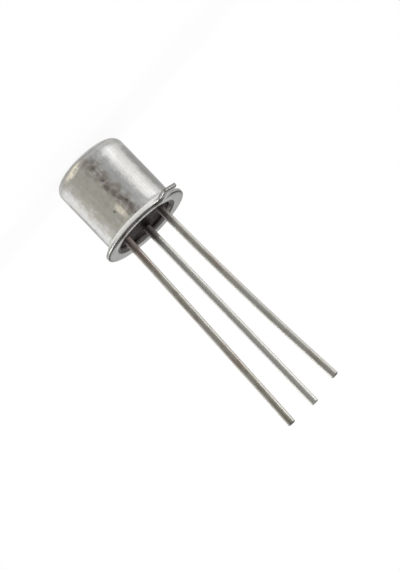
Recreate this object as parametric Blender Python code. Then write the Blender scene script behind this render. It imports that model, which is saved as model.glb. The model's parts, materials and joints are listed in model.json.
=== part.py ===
"""Unijunction transistor in a small round metal can, standing on its flat top with its leads up.

Lengths are metres and angles are degrees. The pieces are modelled in the transistor's own frame: the
flange's underside is the plane z = 0, the cap rises to +Z and the leads run to -Z. The emitter is at
+X, base one at +Y and base two at -X, and no lead is at -Y. An empty named rest then stands the
whole transistor on its head, because the round can would roll on its side.
"""

import bmesh
import bpy
from math import atan2, cos, degrees, pi, radians, sin, tan
from mathutils import Matrix, Vector

# Sheet that the cap and the header are drawn from, the hairline left between pieces that meet, and
# the room that the header's cup has inside the cap
CAP_WALL = 0.2e-3
HEADER_WALL = 0.2e-3
SEAT_GAP = 0.01e-3
CAP_CLEARANCE = 0.06e-3

# Cap, with a small welding flange: a fillet, a flat ledge and a rounded edge beyond the wall
CAP_RADIUS = 2.31e-3
CAN_HEIGHT = 5.07e-3
SHOULDER_RADIUS = 0.6e-3
CAP_FOOT_RADIUS = 0.1e-3
CAP_LEDGE_WIDTH = 0.065e-3
CAP_EDGE_RADIUS = 0.05e-3

# Header flange, which stands out beyond the cap's, and its index tab
FLANGE_MARGIN = 0.285e-3
FLANGE_EDGE_RADIUS = 0.09e-3
TAB_ANGLE = -45
TAB_WIDTH = 1.1e-3
TAB_LENGTH = 0.71e-3
TAB_FLAT_CORNER_RADIUS = 0.07e-3
TAB_ROOT_RADIUS = 0.12e-3

# Header cup, closed at the top by the platform that carries the die
PLATFORM_HEIGHT = 1.25e-3
PLATFORM_INNER_RADIUS = 0.1e-3

# Glass that fills the cup round the leads, and the ring of it round each post in the platform
GLASS_DEPTH = 0.34e-3
GLASS_RIM_CREEP = 0.07e-3
GLASS_LEAD_CREEP = 0.09e-3
GLASS_CREEP_WIDTH = 0.2e-3
POST_GLASS_WIDTH = 0.188e-3

# Leads
LEAD_RADIUS = 0.232e-3
LEAD_CIRCLE_RADIUS = 1.27e-3
LEAD_BEVEL = 0.03e-3
POST_HEIGHT = 0.5e-3

# Each lead: its place round the can, its splay where it leaves the glass and at its tip, and how far
# its tip lies beyond the flange's underside
EMITTER_PLACE = 0
EMITTER_ROOT_SPLAY_ANGLE = 0.5
EMITTER_TIP_SPLAY_ANGLE = 4.2
EMITTER_REACH = 13.45e-3
BASE_ONE_PLACE = 90
BASE_ONE_ROOT_SPLAY_ANGLE = 0.8
BASE_ONE_TIP_SPLAY_ANGLE = 0.8
BASE_ONE_REACH = 13.5e-3
BASE_TWO_PLACE = 180
BASE_TWO_ROOT_SPLAY_ANGLE = 1.6
BASE_TWO_TIP_SPLAY_ANGLE = 2.0
BASE_TWO_REACH = 13.72e-3

# Silicon cube, the solder under it and the two wires that join it to the posts
DIE_SIDE = 0.46e-3
DIE_HEIGHT = 0.2e-3
SOLDER_MARGIN = 0.06e-3
SOLDER_HEIGHT = 0.03e-3
PAD_MARGIN = 0.11e-3
BOND_WIRE_RADIUS = 0.02e-3
BOND_WIRE_RISE = 0.3e-3
BOND_WIRE_FOOT = 0.1e-3

# How finely round things are cut, the least angle between the tab's root and the next point of the
# flange's edge, and the angle above which an edge is shaded crisp
ROUND_STEPS = 96
LEAD_SIDES = 24
LEAD_STATIONS = 12
WIRE_SIDES = 8
WIRE_STATIONS = 18
CORNER_STEPS = 6
EDGE_STEPS = 4
INNER_STEPS = 3
ROOT_SPACING = 1
CRISP_ANGLE = 30

# Finishes: base colour, metallic and roughness
NICKEL_PLATE = ((0.62, 0.61, 0.58), 1.0, 0.34)
HEADER_PLATE = ((0.52, 0.52, 0.50), 1.0, 0.42)
TINNED_WIRE = ((0.58, 0.57, 0.53), 1.0, 0.3)
DARK_GLASS = ((0.03, 0.026, 0.028), 0.0, 0.12)
SILICON = ((0.16, 0.17, 0.2), 0.3, 0.2)
GOLD_SOLDER = ((0.8, 0.6, 0.25), 1.0, 0.35)
ALUMINIUM = ((0.8, 0.8, 0.8), 1.0, 0.3)

# What follows from the sizes above
CAP_FLANGE_RADIUS = CAP_RADIUS + CAP_FOOT_RADIUS + CAP_LEDGE_WIDTH + CAP_EDGE_RADIUS
FLANGE_RADIUS = CAP_FLANGE_RADIUS + FLANGE_MARGIN
TAB_CORNER_RADIUS = TAB_FLAT_CORNER_RADIUS + FLANGE_EDGE_RADIUS
CUP_OUTER_RADIUS = CAP_RADIUS - CAP_WALL - CAP_CLEARANCE
CUP_RADIUS = CUP_OUTER_RADIUS - HEADER_WALL
PLATFORM_CORNER_RADIUS = PLATFORM_INNER_RADIUS + HEADER_WALL
PLATFORM_UNDERSIDE = PLATFORM_HEIGHT - HEADER_WALL
POST_TOP = PLATFORM_HEIGHT + POST_HEIGHT
POST_HOLE_RADIUS = LEAD_RADIUS + POST_GLASS_WIDTH
GLASS_FOOT = GLASS_DEPTH - GLASS_LEAD_CREEP
SOLDER_BASE = PLATFORM_HEIGHT + SEAT_GAP
DIE_BASE = SOLDER_BASE + SOLDER_HEIGHT + SEAT_GAP
DIE_TOP = DIE_BASE + DIE_HEIGHT
WIRE_LIFT = SEAT_GAP + BOND_WIRE_RADIUS


def clear_scene():
    """Removes whatever the file opened with."""
    for thing in list(bpy.data.objects):
        bpy.data.objects.remove(thing)


def material(name, colour, metallic, roughness):
    """A plain finish for the pieces of one kind."""
    made = bpy.data.materials.new(name)
    made.use_nodes = True
    shader = made.node_tree.nodes["Principled BSDF"]
    shader.inputs["Base Color"].default_value = (*colour, 1)
    shader.inputs["Metallic"].default_value = metallic
    shader.inputs["Roughness"].default_value = roughness
    return made


def arc(centre, radius, start, end, steps=CORNER_STEPS):
    """Points along an arc in a plane, from one angle to another."""
    turns = [radians(start + (end - start) * i / steps) for i in range(steps + 1)]
    return [(centre[0] + radius * cos(a), centre[1] + radius * sin(a)) for a in turns]


def circle(radius, height=0.0, steps=ROUND_STEPS):
    """A level ring of points, half a step off the axes, so that a flat side faces each quarter."""
    turns = [2 * pi * (i + 0.5) / steps for i in range(steps)]
    return [Vector((radius * cos(a), radius * sin(a), height)) for a in turns]


def loft(name, loops, look):
    """Joins loops of equally many points into one closed solid, with a flat face on each end."""
    form = bmesh.new()
    rings = [[form.verts.new(point) for point in loop] for loop in loops]
    for lower, upper in zip(rings, rings[1:]):
        count = len(lower)
        for i in range(count):
            j = (i + 1) % count
            form.faces.new((lower[i], lower[j], upper[j], upper[i]))
    form.faces.new(rings[0])
    form.faces.new(rings[-1])
    bmesh.ops.recalc_face_normals(form, faces=form.faces)
    mesh = bpy.data.meshes.new(name)
    form.to_mesh(mesh)
    form.free()
    mesh.materials.append(look)
    made = bpy.data.objects.new(name, mesh)
    bpy.context.collection.objects.link(made)
    return made


def turned(name, profile, look):
    """A solid of revolution from a profile of radius and height that ends in a flat at each end."""
    return loft(name, [circle(r, z) for r, z in profile], look)


def combine(target, tool, operation):
    """Joins the tool to the target or cuts it away, and removes the tool."""
    step = target.modifiers.new("combine", "BOOLEAN")
    step.operation = operation
    step.object = tool
    graph = bpy.context.evaluated_depsgraph_get()
    mesh = bpy.data.meshes.new_from_object(target.evaluated_get(graph))
    target.modifiers.remove(step)
    target.data = mesh
    bpy.data.objects.remove(tool)


def lead_centre(place):
    """Where a lead crosses the glass, on the lead circle."""
    angle = radians(place)
    return Vector((LEAD_CIRCLE_RADIUS * cos(angle), LEAD_CIRCLE_RADIUS * sin(angle), 0))


def rod(name, radius, bottom, top, place, look):
    """An upright cylinder at a lead's place, used to join and to cut."""
    rings = [circle(radius, z, LEAD_SIDES) for z in (bottom, top)]
    centre = lead_centre(place)
    return loft(name, [[point + centre for point in ring] for ring in rings], look)


def cap(look):
    """The drawn can: a flat top, a round shoulder, a straight wall and a small welding flange."""
    base = HEADER_WALL + SEAT_GAP
    shoulder = (CAP_RADIUS - SHOULDER_RADIUS, CAN_HEIGHT - SHOULDER_RADIUS)
    foot = (CAP_RADIUS + CAP_FOOT_RADIUS, base + CAP_WALL + CAP_FOOT_RADIUS)
    edge = (CAP_FLANGE_RADIUS - CAP_EDGE_RADIUS, base + CAP_WALL - CAP_EDGE_RADIUS)
    profile = arc(shoulder, SHOULDER_RADIUS, 90, 0)
    profile += arc(foot, CAP_FOOT_RADIUS, 180, 270, INNER_STEPS)
    profile += arc(edge, CAP_EDGE_RADIUS, 90, 0, INNER_STEPS)
    profile += [(CAP_FLANGE_RADIUS, base)]
    profile += arc(foot, CAP_FOOT_RADIUS + CAP_WALL, 270, 180, INNER_STEPS)
    profile += arc(shoulder, SHOULDER_RADIUS - CAP_WALL, 0, 90, INNER_STEPS)
    return turned("cap", profile, look)


def tab_outline():
    """Half of the index tab's outline, from its root on the flange to the middle of its tip."""
    half = TAB_WIDTH / 2
    root_y = half + TAB_ROOT_RADIUS
    root_x = ((FLANGE_RADIUS + TAB_ROOT_RADIUS) ** 2 - root_y**2) ** 0.5
    touch = degrees(atan2(root_y, root_x))
    corner = (FLANGE_RADIUS + TAB_LENGTH - TAB_CORNER_RADIUS, half - TAB_CORNER_RADIUS)
    points = arc((root_x, root_y), TAB_ROOT_RADIUS, 180 + touch, 270, INNER_STEPS)
    points += arc(corner, TAB_CORNER_RADIUS, 90, 0)
    return touch, [Vector(point) for point in points]


def flange_outline():
    """The flange's round edge with the tab on it, as points and the direction out of each."""
    touch, half_tab = tab_outline()
    tab = [Vector((p.x, -p.y)) for p in half_tab] + half_tab[::-1]
    places = sorted((360 * (i + 0.5) / ROUND_STEPS - TAB_ANGLE) % 360 for i in range(ROUND_STEPS))
    first, last = touch + ROOT_SPACING, 360 - touch - ROOT_SPACING
    free = [radians(place) for place in places if first < place < last]
    edge = [Vector((FLANGE_RADIUS * cos(a), FLANGE_RADIUS * sin(a))) for a in free]
    turn = Matrix.Rotation(radians(TAB_ANGLE), 2)
    points = [turn @ p for p in tab + edge]
    out = []
    for i in range(len(points)):
        along = points[(i + 1) % len(points)] - points[i - 1]
        out.append(Vector((along.y, -along.x)).normalized())
    return points, out


def header(look):
    """The stamped header: a flange with its tab, a cup open below, and a platform with two holes.

    The sheet has a sharp bend above, between flange and cup, so the cup's lip below is rounded by
    the sheet's own thickness.
    """
    points, out = flange_outline()

    def level(radius, height):
        return [Vector((*(p.normalized() * radius), height)) for p in points]

    def rim(inset, height):
        return [Vector((*(p - o * inset), height)) for p, o in zip(points, out)]

    corner = (CUP_OUTER_RADIUS - PLATFORM_CORNER_RADIUS, PLATFORM_HEIGHT - PLATFORM_CORNER_RADIUS)
    edge = (FLANGE_EDGE_RADIUS, FLANGE_EDGE_RADIUS)
    lip = (CUP_RADIUS + HEADER_WALL, HEADER_WALL)
    loops = [level(r, z) for r, z in arc(corner, PLATFORM_CORNER_RADIUS, 90, 0, INNER_STEPS)]
    loops += [level(CUP_OUTER_RADIUS, HEADER_WALL), rim(0, HEADER_WALL)]
    loops += [rim(inset, z) for inset, z in arc(edge, FLANGE_EDGE_RADIUS, 180, 270, EDGE_STEPS)]
    loops += [level(r, z) for r, z in arc(lip, HEADER_WALL, 270, 180)]
    loops += [level(r, z) for r, z in arc(corner, PLATFORM_INNER_RADIUS, 0, 90, INNER_STEPS)]
    made = loft("header", loops, look)
    for place in (EMITTER_PLACE, BASE_ONE_PLACE):
        drill = rod("drill", POST_HOLE_RADIUS, corner[1], POST_TOP, place, look)
        combine(made, drill, "DIFFERENCE")
    return made


def glass_creep(place, width, look):
    """The glass that has crept down a lead, as a small trumpet that joins the rest of the glass."""
    bore = LEAD_RADIUS + SEAT_GAP
    centre = lead_centre(place)
    loops = []
    for i in range(CORNER_STEPS + 1):
        share = i / CORNER_STEPS
        low = GLASS_DEPTH - GLASS_LEAD_CREEP * (1 - share) ** 2
        loops.append([centre + point for point in circle(bore + width * share, low, LEAD_SIDES)])
    loops.append([point + Vector((0, 0, GLASS_LEAD_CREEP)) for point in loops[-1]])
    return loft("creep", loops, look)


def glass_seal(look):
    """The glass: it fills the cup, creeps up the wall and the leads, and fills the platform's holes."""
    radius = CUP_RADIUS - SEAT_GAP
    bore = LEAD_RADIUS + SEAT_GAP
    creep_width = min(GLASS_CREEP_WIDTH, radius - LEAD_CIRCLE_RADIUS - bore)
    corner = (radius - PLATFORM_INNER_RADIUS, PLATFORM_UNDERSIDE - SEAT_GAP - PLATFORM_INNER_RADIUS)
    profile = arc(corner, PLATFORM_INNER_RADIUS, 90, 0, INNER_STEPS)
    for i in range(CORNER_STEPS + 1):
        share = i / CORNER_STEPS
        low = GLASS_DEPTH - GLASS_RIM_CREEP * (1 - share) ** 2
        profile.append((radius - GLASS_CREEP_WIDTH * share, low))
    made = turned("glass_seal", profile, look)
    for place in (EMITTER_PLACE, BASE_ONE_PLACE, BASE_TWO_PLACE):
        combine(made, glass_creep(place, creep_width, look), "UNION")
    for place in (EMITTER_PLACE, BASE_ONE_PLACE):
        ring = rod("ring", POST_HOLE_RADIUS - SEAT_GAP, corner[1], PLATFORM_HEIGHT, place, look)
        combine(made, ring, "UNION")
    for place in (EMITTER_PLACE, BASE_ONE_PLACE, BASE_TWO_PLACE):
        combine(made, rod("bore", bore, 0, POST_TOP, place, look), "DIFFERENCE")
    return made


def tube(name, path, radius, sides, side_axis, look, bevel=0.0):
    """A round wire along a path that lies in the plane square to the side axis."""
    loops = []
    for i, point in enumerate(path):
        before, after = path[max(i - 1, 0)], path[min(i + 1, len(path) - 1)]
        along = (after - before).normalized()
        across = along.cross(side_axis)
        turns = [2 * pi * (k + 0.5) / sides for k in range(sides)]
        ring = [across * cos(a) + side_axis * sin(a) for a in turns]
        if bevel and i == 0:
            loops.append([point + spoke * (radius - bevel) for spoke in ring])
            point = point + along * bevel
        if bevel and i == len(path) - 1:
            loops.append([point - along * bevel + spoke * radius for spoke in ring])
            loops.append([point + spoke * (radius - bevel) for spoke in ring])
        else:
            loops.append([point + spoke * radius for spoke in ring])
    return loft(name, loops, look)


def lead(name, place, root_splay, tip_splay, reach, top, look):
    """A lead that is upright in the glass and then runs to its tip with a steady slight bend."""
    path = [Vector((0, 0, top)), Vector((0, 0, GLASS_FOOT))]
    step = (reach + GLASS_FOOT) / LEAD_STATIONS
    for i in range(LEAD_STATIONS):
        lean = radians(root_splay + (tip_splay - root_splay) * (i + 0.5) / LEAD_STATIONS)
        path.append(path[-1] + Vector((step * tan(lean), 0, -step)))
    made = tube(name, path, LEAD_RADIUS, LEAD_SIDES, Vector((0, 1, 0)), look, LEAD_BEVEL)
    made.location = lead_centre(place)
    made.rotation_euler = (0, 0, radians(place))
    return made


def block(name, side, bottom, height, look):
    """A square block on the can's axis."""
    half = side / 2
    square = [(half, half), (-half, half), (-half, -half), (half, -half)]
    loops = [[Vector((x, y, z)) for x, y in square] for z in (bottom, bottom + height)]
    return loft(name, loops, look)


def bond_wire(name, place, look):
    """A fine wire looped from a pad on the silicon to the flat top of a post."""
    start = Vector((DIE_SIDE / 2 - PAD_MARGIN, 0, DIE_TOP + WIRE_LIFT))
    end = Vector((LEAD_CIRCLE_RADIUS, 0, POST_TOP + WIRE_LIFT))
    foot = Vector((BOND_WIRE_FOOT, 0, 0))
    path = [start - foot]
    for i in range(WIRE_STATIONS + 1):
        share = i / WIRE_STATIONS
        rise = Vector((0, 0, BOND_WIRE_RISE * sin(pi * share) ** 2))
        path.append(start.lerp(end, share) + rise)
    path.append(end + foot)
    made = tube(name, path, BOND_WIRE_RADIUS, WIRE_SIDES, Vector((0, 1, 0)), look)
    made.rotation_euler = (0, 0, radians(place))
    return made


def rest_pose():
    """An empty that stands the can on its flat top, leads up, with the origin under the can's axis."""
    rest = bpy.data.objects.new("rest", None)
    bpy.context.collection.objects.link(rest)
    rest.rotation_euler = (0, pi, 0)
    rest.location = (0, 0, CAN_HEIGHT)
    return rest


def build():
    """Makes every piece and stands the transistor on its head."""
    clear_scene()
    tinned = material("tinned_wire", *TINNED_WIRE)
    glass = material("dark_glass", *DARK_GLASS)
    aluminium = material("aluminium", *ALUMINIUM)
    pieces = [
        cap(material("nickel_plate", *NICKEL_PLATE)),
        header(material("header_plate", *HEADER_PLATE)),
        glass_seal(glass),
        lead("emitter_lead", EMITTER_PLACE, EMITTER_ROOT_SPLAY_ANGLE, EMITTER_TIP_SPLAY_ANGLE,
             EMITTER_REACH, POST_TOP, tinned),
        lead("base_one_lead", BASE_ONE_PLACE, BASE_ONE_ROOT_SPLAY_ANGLE, BASE_ONE_TIP_SPLAY_ANGLE,
             BASE_ONE_REACH, POST_TOP, tinned),
        lead("base_two_lead", BASE_TWO_PLACE, BASE_TWO_ROOT_SPLAY_ANGLE, BASE_TWO_TIP_SPLAY_ANGLE,
             BASE_TWO_REACH, PLATFORM_UNDERSIDE - SEAT_GAP, tinned),
        block("die_solder", DIE_SIDE + 2 * SOLDER_MARGIN, SOLDER_BASE, SOLDER_HEIGHT,
              material("gold_solder", *GOLD_SOLDER)),
        block("silicon_die", DIE_SIDE, DIE_BASE, DIE_HEIGHT, material("silicon", *SILICON)),
        bond_wire("emitter_bond_wire", EMITTER_PLACE, aluminium),
        bond_wire("base_one_bond_wire", BASE_ONE_PLACE, aluminium),
    ]
    rest = rest_pose()
    for piece in pieces:
        piece.data.shade_smooth()
        piece.data.set_sharp_from_angle(angle=radians(CRISP_ANGLE))
        piece.parent = rest


build()
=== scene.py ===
"""The looks of the transistor: fine meshes round the fixed frame, finishes, floor, light and camera.

Lengths are metres and angles are degrees, but the finishes count in millimetres, as their comments
say. Fine pieces are made in the can's own frame, as the solids are: the flange's underside is the
plane z = 0, the cap rises to +Z, the leads run to -Z, and the emitter is at +X, base one at +Y and
base two at -X. Their objects carry that frame to its place.
"""

import json
from math import atan2, cos, degrees, pi, radians, sin, tan
from types import SimpleNamespace

import bmesh
import bpy
from mathutils import Matrix, Vector, noise

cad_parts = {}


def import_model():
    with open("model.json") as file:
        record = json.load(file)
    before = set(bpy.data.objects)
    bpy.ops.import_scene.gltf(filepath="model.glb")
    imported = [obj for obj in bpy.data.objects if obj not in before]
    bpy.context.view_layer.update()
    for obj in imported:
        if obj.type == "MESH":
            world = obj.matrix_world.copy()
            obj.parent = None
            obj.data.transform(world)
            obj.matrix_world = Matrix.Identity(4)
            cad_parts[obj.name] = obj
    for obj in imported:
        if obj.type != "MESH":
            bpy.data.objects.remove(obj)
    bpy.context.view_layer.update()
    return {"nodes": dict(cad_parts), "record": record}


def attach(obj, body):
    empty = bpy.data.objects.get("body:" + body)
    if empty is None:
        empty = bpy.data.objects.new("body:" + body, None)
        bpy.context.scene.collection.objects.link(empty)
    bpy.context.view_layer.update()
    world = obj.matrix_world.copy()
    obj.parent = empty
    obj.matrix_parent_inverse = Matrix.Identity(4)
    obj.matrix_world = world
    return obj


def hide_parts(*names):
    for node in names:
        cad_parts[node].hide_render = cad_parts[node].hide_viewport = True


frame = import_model()

# Sheet and gaps
CAP_WALL = 0.2e-3
HEADER_WALL = 0.2e-3
SEAT_GAP = 0.01e-3
CAP_CLEARANCE = 0.06e-3

# Cap
CAP_RADIUS = 2.31e-3
SHOULDER_RADIUS = 0.6e-3
CAP_FOOT_RADIUS = 0.1e-3
CAP_LEDGE_WIDTH = 0.065e-3
CAP_EDGE_RADIUS = 0.05e-3

# How the drawn cap departs from a true cylinder: the height and the spread of its shallow waves
CAP_WAVE_HEIGHT = 0.006e-3
CAP_WAVE_SPREAD = 1.6e-3

# Header flange and its index tab
FLANGE_MARGIN = 0.285e-3
FLANGE_EDGE_RADIUS = 0.09e-3
TAB_ANGLE = -45
TAB_WIDTH = 1.1e-3
TAB_LENGTH = 0.71e-3
TAB_FLAT_CORNER_RADIUS = 0.07e-3
TAB_ROOT_RADIUS = 0.12e-3

# Header cup and platform
PLATFORM_HEIGHT = 1.25e-3
PLATFORM_INNER_RADIUS = 0.1e-3

# Glass
GLASS_DEPTH = 0.34e-3
GLASS_RIM_CREEP = 0.07e-3
GLASS_LEAD_CREEP = 0.09e-3
GLASS_CREEP_WIDTH = 0.2e-3
POST_GLASS_WIDTH = 0.188e-3

# Leads: place round the can, splay at the glass and at the tip, and reach beyond the flange
LEAD_RADIUS = 0.232e-3
LEAD_CIRCLE_RADIUS = 1.27e-3
LEAD_BEVEL = 0.03e-3
POST_HEIGHT = 0.5e-3
EMITTER_PLACE = 0
EMITTER_SPLAY = (0.5, 4.2)
EMITTER_REACH = 13.45e-3
BASE_ONE_PLACE = 90
BASE_ONE_SPLAY = (0.8, 0.8)
BASE_ONE_REACH = 13.5e-3
BASE_TWO_PLACE = 180
BASE_TWO_SPLAY = (1.6, 2.0)
BASE_TWO_REACH = 13.72e-3

# How finely the round pieces are cut
ROUND_STEPS = 240
ARC_STEPS = 12
LEAD_SIDES = 48
LEAD_STATIONS = 110
WALL_SPACING = 0.12e-3
HOLD_MARGIN = 0.012e-3
CRISP_ANGLE = 35

# Camera: how far the can's underside tilts toward it, the way the can's axis runs in the picture
# below the horizontal, how far the middle of the picture lies from the can's seat, and the lens
VIEW_TILT = 12.5
AXIS_SLOPE = 46.15
AIM_RIGHT = 2.982e-3
AIM_UP = -3.228e-3
CAMERA_DISTANCE = 0.3
LENS = 341
SENSOR = 36

# What follows from the sizes above
CAP_FLANGE_RADIUS = CAP_RADIUS + CAP_FOOT_RADIUS + CAP_LEDGE_WIDTH + CAP_EDGE_RADIUS
FLANGE_RADIUS = CAP_FLANGE_RADIUS + FLANGE_MARGIN
TAB_CORNER_RADIUS = TAB_FLAT_CORNER_RADIUS + FLANGE_EDGE_RADIUS
CUP_OUTER_RADIUS = CAP_RADIUS - CAP_WALL - CAP_CLEARANCE
CUP_RADIUS = CUP_OUTER_RADIUS - HEADER_WALL
PLATFORM_CORNER_RADIUS = PLATFORM_INNER_RADIUS + HEADER_WALL
PLATFORM_UNDERSIDE = PLATFORM_HEIGHT - HEADER_WALL
POST_TOP = PLATFORM_HEIGHT + POST_HEIGHT
BASE_TWO_TOP = PLATFORM_UNDERSIDE - SEAT_GAP
POST_HOLE_RADIUS = LEAD_RADIUS + POST_GLASS_WIDTH
GLASS_FOOT = GLASS_DEPTH - GLASS_LEAD_CREEP

# Millimetres in a metre
MILLIMETRES = 1000


def can_frame():
    """The can's own frame and its height, from the two flat faces that the record states."""
    mounts = {mount["name"]: mount for mount in frame["record"]["mounts"]}
    along = Vector(mounts["seating_face"]["axis"]).normalized()
    top = Vector(mounts["cap_top"]["pos_m"])
    height = (Vector(mounts["seating_face"]["pos_m"]) - top).dot(along)
    x_axis = Vector((-1, 0, 0))
    z_axis = -along
    y_axis = z_axis.cross(x_axis)
    turn = Matrix((x_axis, y_axis, z_axis)).transposed()
    return Matrix.Translation(top + along * height) @ turn.to_4x4(), height


CAN_FRAME, CAN_HEIGHT = can_frame()


# Meshes


def arc(centre, radius, start, end, steps=ARC_STEPS):
    """Points along an arc in a plane, from one angle to another."""
    turns = [radians(start + (end - start) * i / steps) for i in range(steps + 1)]
    return [(centre[0] + radius * cos(a), centre[1] + radius * sin(a)) for a in turns]


def circle(radius, height, steps=ROUND_STEPS):
    """A level ring of points."""
    turns = [2 * pi * (i + 0.5) / steps for i in range(steps)]
    return [Vector((radius * cos(a), radius * sin(a), height)) for a in turns]


def held(profile, spacing=WALL_SPACING):
    """The profile with more points: close to each end of a straight run, and evenly along it."""
    made = [profile[0]]
    for start, end in zip(profile, profile[1:]):
        run = (Vector(end) - Vector(start)).length
        if run > 3 * HOLD_MARGIN:
            inner = run - 2 * HOLD_MARGIN
            count = max(1, round(inner / spacing))
            for i in range(count + 1):
                share = (HOLD_MARGIN + inner * i / count) / run
                made.append(tuple(Vector(start).lerp(Vector(end), share)))
        made.append(end)
    return made


def smooth(mesh):
    """Shades a mesh smooth, and crisp at its edges."""
    mesh.shade_smooth()
    mesh.set_sharp_from_angle(angle=radians(CRISP_ANGLE))


def finished(name, mesh):
    """Makes a smooth piece from a mesh, in the can's frame."""
    smooth(mesh)
    made = bpy.data.objects.new(name, mesh)
    bpy.context.scene.collection.objects.link(made)
    made.matrix_world = CAN_FRAME
    return made


def loft(name, loops):
    """Joins loops of equally many points into one closed solid."""
    form = bmesh.new()
    rings = [[form.verts.new(point) for point in loop] for loop in loops]
    for lower, upper in zip(rings, rings[1:]):
        count = len(lower)
        for i in range(count):
            j = (i + 1) % count
            form.faces.new((lower[i], lower[j], upper[j], upper[i]))
    form.faces.new(rings[0])
    form.faces.new(rings[-1])
    bmesh.ops.recalc_face_normals(form, faces=form.faces)
    mesh = bpy.data.meshes.new(name)
    form.to_mesh(mesh)
    form.free()
    return finished(name, mesh)


def combine(target, tool, operation):
    """Joins the tool to the target or cuts it away, and removes the tool."""
    step = target.modifiers.new("combine", "BOOLEAN")
    step.operation = operation
    step.object = tool
    graph = bpy.context.evaluated_depsgraph_get()
    mesh = bpy.data.meshes.new_from_object(target.evaluated_get(graph))
    target.modifiers.remove(step)
    target.data = mesh
    smooth(mesh)
    bpy.data.objects.remove(tool)


def lead_centre(place):
    """Where a lead crosses the glass."""
    angle = radians(place)
    return Vector((LEAD_CIRCLE_RADIUS * cos(angle), LEAD_CIRCLE_RADIUS * sin(angle), 0))


def rod(name, radius, bottom, top, place):
    """An upright cylinder at a lead's place."""
    centre = lead_centre(place)
    return loft(name, [[centre + p for p in circle(radius, z, LEAD_SIDES)] for z in (bottom, top)])


def uneven(point):
    """Moves a point of the cap's wall inward by its shallow waves."""
    wave = noise.noise(point / CAP_WAVE_SPREAD) * CAP_WAVE_HEIGHT - CAP_WAVE_HEIGHT
    out = Vector((point.x, point.y, 0)) / CAP_RADIUS
    return point + out * wave


def cap():
    """The drawn can, with the faint unevenness of drawn sheet on its outside."""
    base = HEADER_WALL + SEAT_GAP
    shoulder = (CAP_RADIUS - SHOULDER_RADIUS, CAN_HEIGHT - SHOULDER_RADIUS)
    foot = (CAP_RADIUS + CAP_FOOT_RADIUS, base + CAP_WALL + CAP_FOOT_RADIUS)
    edge = (CAP_FLANGE_RADIUS - CAP_EDGE_RADIUS, base + CAP_WALL - CAP_EDGE_RADIUS)
    outside = [(WALL_SPACING, CAN_HEIGHT)]
    outside += arc(shoulder, SHOULDER_RADIUS, 90, 0, 2 * ARC_STEPS)
    outside += arc(foot, CAP_FOOT_RADIUS, 180, 270)
    outside += arc(edge, CAP_EDGE_RADIUS, 90, 0)
    outside = held(outside)
    inside = [(CAP_FLANGE_RADIUS, base)]
    inside += arc(foot, CAP_FOOT_RADIUS + CAP_WALL, 270, 180)
    inside += arc(shoulder, SHOULDER_RADIUS - CAP_WALL, 0, 90)
    loops = []
    for radius, height in outside:
        ring = circle(radius, height)
        if height > foot[1]:
            ring = [uneven(point) for point in ring]
        loops.append(ring)
    loops += [circle(radius, height) for radius, height in inside]
    return loft("cap_shell", loops)


def tab_outline():
    """The angle where the index tab leaves the flange, and half its outline from there to its tip."""
    half = TAB_WIDTH / 2
    root_y = half + TAB_ROOT_RADIUS
    root_x = ((FLANGE_RADIUS + TAB_ROOT_RADIUS) ** 2 - root_y**2) ** 0.5
    touch = degrees(atan2(root_y, root_x))
    corner = (FLANGE_RADIUS + TAB_LENGTH - TAB_CORNER_RADIUS, half - TAB_CORNER_RADIUS)
    points = arc((root_x, root_y), TAB_ROOT_RADIUS, 180 + touch, 270)
    points += arc(corner, TAB_CORNER_RADIUS, 90, 0)
    points += [(FLANGE_RADIUS + TAB_LENGTH, 0)]
    return touch, held(points, WALL_SPACING / 2)


def flange_outline():
    """The flange's round edge with the tab on it, as points and the direction out of each."""
    touch, half_tab = tab_outline()
    upper = [Vector(point) for point in half_tab]
    tab = [Vector((p.x, -p.y)) for p in upper[:-1]] + upper[::-1]
    step = 360 / ROUND_STEPS
    count = round((360 - 2 * touch) / step)
    turns = [radians(touch + (360 - 2 * touch) * i / count) for i in range(1, count)]
    edge = [Vector((FLANGE_RADIUS * cos(a), FLANGE_RADIUS * sin(a))) for a in turns]
    turn = Matrix.Rotation(radians(TAB_ANGLE), 2)
    points = [turn @ p for p in tab + edge]
    out = []
    for i in range(len(points)):
        along = points[(i + 1) % len(points)] - points[i - 1]
        out.append(Vector((along.y, -along.x)).normalized())
    return points, out


def header():
    """The stamped header: flange with tab, cup open below, and platform with two holes."""
    points, out = flange_outline()

    def level(radius, height):
        return [Vector((*(p.normalized() * radius), height)) for p in points]

    def rim(inset, height):
        return [Vector((*(p - o * inset), height)) for p, o in zip(points, out)]

    corner = (CUP_OUTER_RADIUS - PLATFORM_CORNER_RADIUS, PLATFORM_HEIGHT - PLATFORM_CORNER_RADIUS)
    edge = (FLANGE_EDGE_RADIUS, FLANGE_EDGE_RADIUS)
    lip = (CUP_RADIUS + HEADER_WALL, HEADER_WALL)
    cup_top = arc(corner, PLATFORM_CORNER_RADIUS, 90, 0)
    loops = [level(r, z) for r, z in held(cup_top + [(CUP_OUTER_RADIUS, HEADER_WALL)])]
    loops += [rim(HOLD_MARGIN, HEADER_WALL), rim(0, HEADER_WALL)]
    loops += [rim(0, HEADER_WALL - HOLD_MARGIN)]
    loops += [rim(inset, z) for inset, z in arc(edge, FLANGE_EDGE_RADIUS, 180, 270)]
    loops += [rim(FLANGE_EDGE_RADIUS + HOLD_MARGIN, 0), level(lip[0] + HOLD_MARGIN, 0)]
    cup_inside = arc(lip, HEADER_WALL, 270, 180) + arc(corner, PLATFORM_INNER_RADIUS, 0, 90)
    loops += [level(r, z) for r, z in held(cup_inside)]
    made = loft("header_shell", loops)
    for place in (EMITTER_PLACE, BASE_ONE_PLACE):
        combine(made, rod("drill", POST_HOLE_RADIUS, corner[1], POST_TOP, place), "DIFFERENCE")
    return made


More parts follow.
